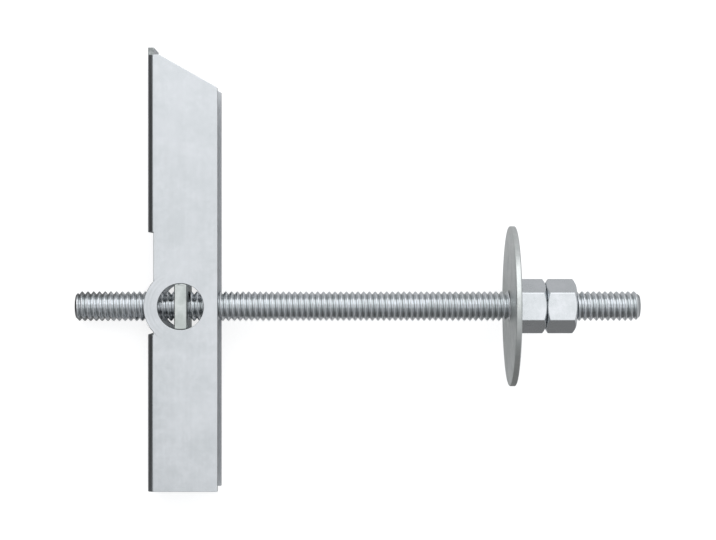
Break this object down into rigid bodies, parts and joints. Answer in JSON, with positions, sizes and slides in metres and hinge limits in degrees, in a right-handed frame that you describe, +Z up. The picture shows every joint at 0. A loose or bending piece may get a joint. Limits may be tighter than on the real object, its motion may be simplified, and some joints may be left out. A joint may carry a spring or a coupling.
{
  "type": "gravity toggle bolt",
  "caption": "Threaded rod through a tilting U-channel toggle bar on a pivot plate, with a large flat washer, a clamping nut and a lock nut.",
  "frame": {"origin": "on the table, under the middle of the box around the whole bolt", "axes": "+X along the rod's shadow on the table, from its tail to its free end; +Y along the bar, from its square end to its bevelled nose; +Z up from the table"},
  "size_m": [0.189, 0.1482, 0.0536],
  "materials": {
    "rod_zinc": "zinc plated, rolled thread",
    "channel_zinc": "zinc plated, satin",
    "plate_zinc": "zinc plated, sheared ends",
    "washer_zinc": "zinc plated, satin",
    "nut_zinc": "zinc plated, bright"
  },
  "bodies": {
    "rod": {"threaded_rod": "rod_zinc"},
    "pivot": {"pivot_plate": "plate_zinc"},
    "bar": {"toggle_channel": "channel_zinc"},
    "clamping_nut": {"clamp_nut": "nut_zinc"},
    "wall_washer": {"washer": "washer_zinc"},
    "locking_nut": {"lock_nut": "nut_zinc"}
  },
  "joints": [
    {"name": "pivot_travel", "type": "slide", "parent": "rod", "child": "pivot", "axis": [0.9894, 0, 0.1451], "range_m": [-0.032, 0.008]},
    {"name": "toggle_tilt", "type": "hinge", "parent": "pivot", "child": "bar", "pos_m": [-0.05835, -0.01245, 0.01069], "axis": [-0.1451, 0, 0.9894], "range_deg": [-18, 55]},
    {"name": "clamp_nut_travel", "type": "slide", "parent": "rod", "child": "clamping_nut", "axis": [0.9894, 0, 0.1451], "range_m": [-0.03, 0.008]},
    {"name": "washer_slide", "type": "slide", "parent": "clamping_nut", "child": "wall_washer", "axis": [0.9894, 0, 0.1451], "range_m": [-0.012, 0]},
    {"name": "lock_nut_travel", "type": "slide", "parent": "clamping_nut", "child": "locking_nut", "axis": [0.9894, 0, 0.1451], "range_m": [0, 0.01]}
  ]
}
